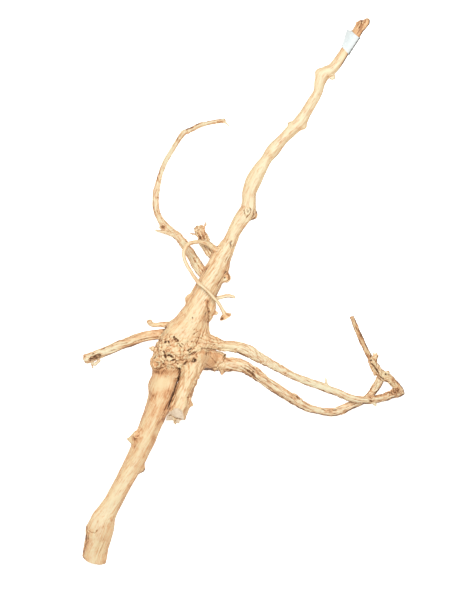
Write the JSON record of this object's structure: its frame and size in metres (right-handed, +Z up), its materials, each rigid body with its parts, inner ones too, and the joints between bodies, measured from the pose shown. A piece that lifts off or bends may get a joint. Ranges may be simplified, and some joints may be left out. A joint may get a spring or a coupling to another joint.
{
  "type": "piece of spiderwood",
  "caption": "Branching root piece of peeled driftwood with a knotted crown, thin roots and twigs and a bare paper tag, lying as decoration for an aquarium or terrarium.",
  "frame": {"origin": "on the surface that the piece lies on, below the middle of its bounding box", "axes": "+Y along the piece, from the sawn main root towards the tagged tip; +Z up from the surface, towards the viewer of the picture; +X to the side of the two long roots"},
  "size_m": [0.3238, 0.5437, 0.1244],
  "materials": {
    "main_root": "peeled, dry, matt, tan",
    "root_crown": "peeled, dry, knotted and pitted",
    "main_stem": "peeled, dry, smooth, pale yellow",
    "short_root": "peeled, dry, with a grey sawn end",
    "left_root": "peeled, dry, broken end",
    "left_spur": "peeled, dry",
    "right_upper_root": "peeled, dry, smooth",
    "right_lower_root": "peeled, dry, rough in places",
    "right_hook": "peeled, dry, rough",
    "curled_branch": "peeled, dry, thin",
    "loop_twig": "peeled, dry, thin",
    "broken_branch": "peeled, dry, broken end",
    "small_twig": "peeled, dry, thin",
    "paper_tag": "white paper, bare, matt"
  },
  "bodies": {
    "root": {"main_root": "main_root", "root_crown": "root_crown", "main_stem": "main_stem", "short_root": "short_root", "left_root": "left_root", "left_spur": "left_spur", "right_upper_root": "right_upper_root", "right_lower_root": "right_lower_root", "right_hook": "right_hook", "curled_branch": "curled_branch", "loop_twig": "loop_twig", "broken_branch": "broken_branch", "small_twig": "small_twig", "paper_tag": "paper_tag"}
  },
  "joints": []
}
